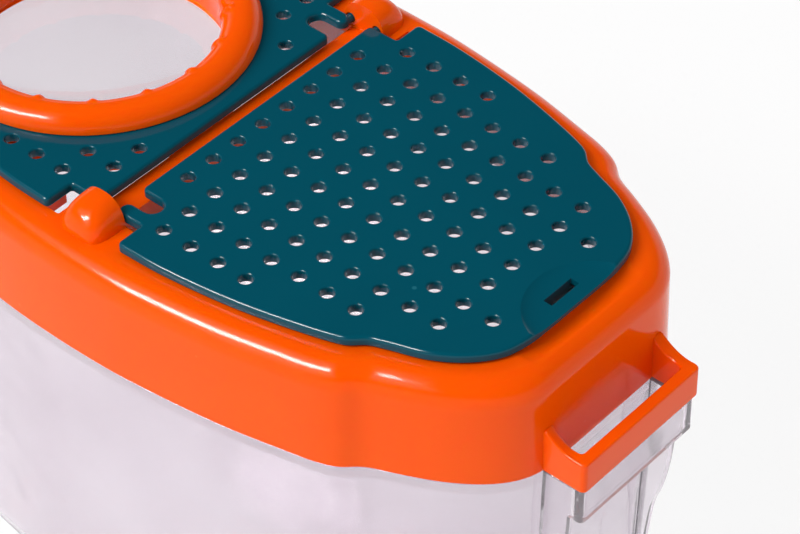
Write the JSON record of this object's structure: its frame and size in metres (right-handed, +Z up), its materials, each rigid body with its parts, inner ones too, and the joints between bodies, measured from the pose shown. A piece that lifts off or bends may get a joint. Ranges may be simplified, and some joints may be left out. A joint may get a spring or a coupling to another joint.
{
  "type": "insect observation jar",
  "caption": "Clear plastic jar for watching insects, with a lift-off collar, a perforated vent door, a door with a magnifying lens and strap loops at both ends.",
  "frame": {"origin": "middle of the base, on the plane that the jar stands on", "axes": "+Z up, +X along the jar toward the end under the vent door, +Y toward its long side"},
  "size_m": [0.1596, 0.08, 0.0873],
  "materials": {
    "clear_styrene": "glossy clear moulded plastic",
    "orange_plastic": "glossy moulded plastic",
    "teal_plastic": "glossy moulded plastic",
    "clear_lens": "polished clear moulded lens"
  },
  "bodies": {
    "jar": {"tub": "clear_styrene"},
    "lid": {"collar": "orange_plastic"},
    "vent_door": {"vent_door": "teal_plastic"},
    "lens_door": {"lens_door": "teal_plastic", "lens_ring": "orange_plastic", "lens": "clear_lens"}
  },
  "joints": [
    {"name": "lid_lift", "type": "slide", "parent": "jar", "child": "lid", "axis": [0, 0, 1], "range_m": [0, 0.03]},
    {"name": "vent_door_hinge", "type": "hinge", "parent": "lid", "child": "vent_door", "pos_m": [0.00275, 0, 0.08312], "axis": [0, -1, 0], "range_deg": [0, 88]},
    {"name": "lens_door_hinge", "type": "hinge", "parent": "lid", "child": "lens_door", "pos_m": [-0.00275, 0, 0.08312], "axis": [0, 1, 0], "range_deg": [0, 88]}
  ]
}
